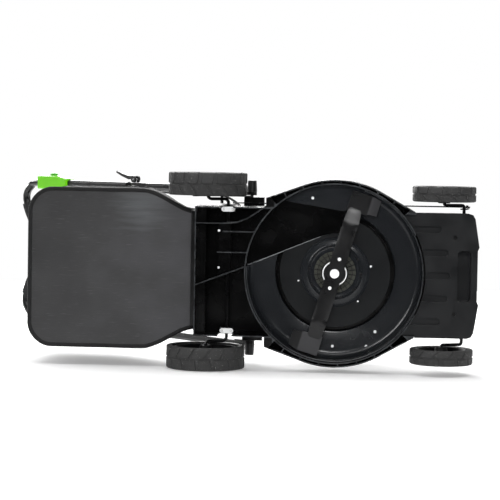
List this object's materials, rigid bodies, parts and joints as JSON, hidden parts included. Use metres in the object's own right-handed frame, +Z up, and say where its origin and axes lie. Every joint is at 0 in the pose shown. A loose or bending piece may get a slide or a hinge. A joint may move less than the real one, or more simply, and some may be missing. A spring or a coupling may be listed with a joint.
{
  "type": "electric lawn mower",
  "caption": "Battery lawn mower with a spiral blade chamber, rear discharge grass bag, cranked axles and a folding tube handle",
  "frame": {"origin": "middle of the object's box in plan, on the ground under the wheels", "axes": "+X forward, +Y to the operator's left, +Z up; the mower stands on its wheels"},
  "size_m": [1.2435, 0.468, 0.9761],
  "materials": {
    "deck_plastic": "satin black moulded plastic",
    "liner_plastic": "smoother black plastic",
    "apron_plastic": "matte black plastic",
    "zinc": "zinc plated steel",
    "steel": "bare machined steel",
    "black_steel": "black powder coat",
    "copper": "lacquered copper windings on a steel core",
    "blade_steel": "black hardened steel",
    "tyre": "dark grey moulded tread",
    "black_plastic": "matte black plastic",
    "green": "lime green moulded plastic",
    "dark_green": "darker green moulded plastic",
    "red": "red moulded plastic",
    "foam": "closed cell foam",
    "cable": "black cable sheath",
    "bag_panel": "dark grey coated panel",
    "cloth": "woven black mesh cloth"
  },
  "bodies": {
    "deck": {"deck_shell": "deck_plastic", "volute_liner": "liner_plastic", "front_apron": "apron_plastic", "axle_guard": "deck_plastic", "rear_clamp_left": "zinc", "rear_clamp_right": "zinc", "front_clamp_left": "zinc", "front_clamp_right": "zinc", "motor_base": "black_steel", "motor_can": "steel", "control_board": "black_plastic", "battery_tray": "black_plastic", "hood": "deck_plastic", "handle_bracket_left": "deck_plastic", "handle_bracket_right": "deck_plastic", "height_sector": "black_steel", "door_hinge_rod": "zinc"},
    "rotor": {"motor_shaft": "steel", "motor_rotor": "copper", "blade_adapter": "black_steel", "blade": "blade_steel", "blade_washer": "zinc", "blade_bolt": "zinc"},
    "rear_cranks": {"rear_axle": "black_steel", "height_lever": "black_steel", "lever_grip": "black_plastic"},
    "front_cranks": {"front_axle": "black_steel"},
    "link": {"height_link": "black_steel"},
    "rear_left_wheel": {"rear_left_tyre": "tyre", "rear_left_rim": "black_plastic"},
    "rear_right_wheel": {"rear_right_tyre": "tyre", "rear_right_rim": "black_plastic"},
    "front_left_wheel": {"front_left_tyre": "tyre", "front_left_rim": "black_plastic"},
    "front_right_wheel": {"front_right_tyre": "tyre", "front_right_rim": "black_plastic"},
    "flap": {"rear_door": "deck_plastic"},
    "battery_lid": {"battery_door": "black_plastic"},
    "battery": {"battery_pack": "black_plastic"},
    "key": {"safety_key": "red"},
    "lower_handle": {"lower_tube_left": "black_steel", "lower_tube_right": "black_steel", "pivot_knob_left": "black_plastic", "pivot_knob_right": "black_plastic", "lower_cable": "cable", "joint_bolt_left": "zinc", "joint_bolt_right": "zinc"},
    "upper_frame": {"upper_handle": "black_steel", "grip_sleeve": "foam", "switch_box": "green", "upper_cable": "cable"},
    "cam_left": {"cam_lever_left": "black_plastic"},
    "cam_right": {"cam_lever_right": "black_plastic"},
    "bail": {"bail_lever": "black_steel"},
    "button": {"start_button": "dark_green"},
    "grass_bag": {"bag_frame": "black_plastic", "bag_base": "bag_panel", "bag_fabric": "cloth", "bag_lid": "black_plastic"}
  },
  "joints": [
    {"name": "blade_spin", "type": "hinge", "parent": "deck", "child": "rotor", "pos_m": [0.2828, 0, 0.0502], "axis": [0, 0, 1], "continuous": true},
    {"name": "height_adjust", "type": "hinge", "parent": "deck", "child": "rear_cranks", "pos_m": [0.0248, 0, 0.117], "axis": [0, -1, 0], "range_deg": [-27.6, 38.3]},
    {"name": "front_height", "type": "hinge", "parent": "deck", "child": "front_cranks", "pos_m": [0.5863, 0, 0.098], "axis": [0, -1, 0], "range_deg": [-27.6, 38.3]},
    {"name": "link_swing", "type": "hinge", "parent": "rear_cranks", "child": "link", "pos_m": [0.03589, -0.1595, 0.19118], "axis": [0, -1, 0], "range_deg": [-38.3, 27.6]},
    {"name": "rear_left_wheel_spin", "type": "hinge", "parent": "rear_cranks", "child": "rear_left_wheel", "pos_m": [-0.0235, 0.2085, 0.094], "axis": [0, 1, 0], "continuous": true},
    {"name": "rear_right_wheel_spin", "type": "hinge", "parent": "rear_cranks", "child": "rear_right_wheel", "pos_m": [-0.0235, -0.2085, 0.094], "axis": [0, 1, 0], "continuous": true},
    {"name": "front_left_wheel_spin", "type": "hinge", "parent": "front_cranks", "child": "front_left_wheel", "pos_m": [0.538, 0.1919, 0.075], "axis": [0, 1, 0], "continuous": true},
    {"name": "front_right_wheel_spin", "type": "hinge", "parent": "front_cranks", "child": "front_right_wheel", "pos_m": [0.538, -0.1919, 0.075], "axis": [0, 1, 0], "continuous": true},
    {"name": "flap_hinge", "type": "hinge", "parent": "deck", "child": "flap", "pos_m": [-0.0432, 0, 0.186], "axis": [0, 1, 0], "range_deg": [0, 40]},
    {"name": "battery_door_hinge", "type": "hinge", "parent": "deck", "child": "battery_lid", "pos_m": [0.3878, 0, 0.3063], "axis": [0, 1, 0], "range_deg": [0, 100]},
    {"name": "battery_lift", "type": "slide", "parent": "deck", "child": "battery", "axis": [0, 0, 1], "range_m": [0, 0.012]},
    {"name": "key_lift", "type": "slide", "parent": "deck", "child": "key", "axis": [0, 0, 1], "range_m": [0, 0.01]},
    {"name": "handle_fold", "type": "hinge", "parent": "deck", "child": "lower_handle", "pos_m": [0.0748, 0, 0.222], "axis": [0, 1, 0], "range_deg": [0, 118], "deforming": ["lower_cable"]},
    {"name": "upper_fold", "type": "hinge", "parent": "lower_handle", "child": "upper_frame", "pos_m": [-0.25392, 0, 0.57451], "axis": [0, -1, 0], "range_deg": [0, 75], "deforming": ["upper_cable"]},
    {"name": "cam_left_swing", "type": "hinge", "parent": "lower_handle", "child": "cam_left", "pos_m": [-0.25392, 0.2078, 0.57451], "axis": [-0.7314, 0, -0.682], "range_deg": [0, 120]},
    {"name": "cam_right_swing", "type": "hinge", "parent": "lower_handle", "child": "cam_right", "pos_m": [-0.25392, -0.2078, 0.57451], "axis": [0.7314, 0, 0.682], "range_deg": [0, 120]},
    {"name": "bail_squeeze", "type": "hinge", "parent": "upper_frame", "child": "bail", "pos_m": [-0.52877, 0, 0.86925], "axis": [0, -1, 0], "range_deg": [0, 24], "stiffness_Nm_per_rad": 2, "springref_deg": -20.05},
    {"name": "start_button_press", "type": "slide", "parent": "upper_frame", "child": "button", "axis": [0, 1, 0], "range_m": [0, 0.003], "stiffness_N_per_m": 600, "springref_m": -0.002},
    {"name": "bag_pull", "type": "slide", "parent": "deck", "child": "grass_bag", "axis": [-1, 0, 0], "range_m": [0, 0.25]}
  ],
  "couplings": [
    {"joint": "front_height", "follows": "height_adjust", "ratio": 1},
    {"joint": "link_swing", "follows": "height_adjust", "ratio": -1}
  ]
}
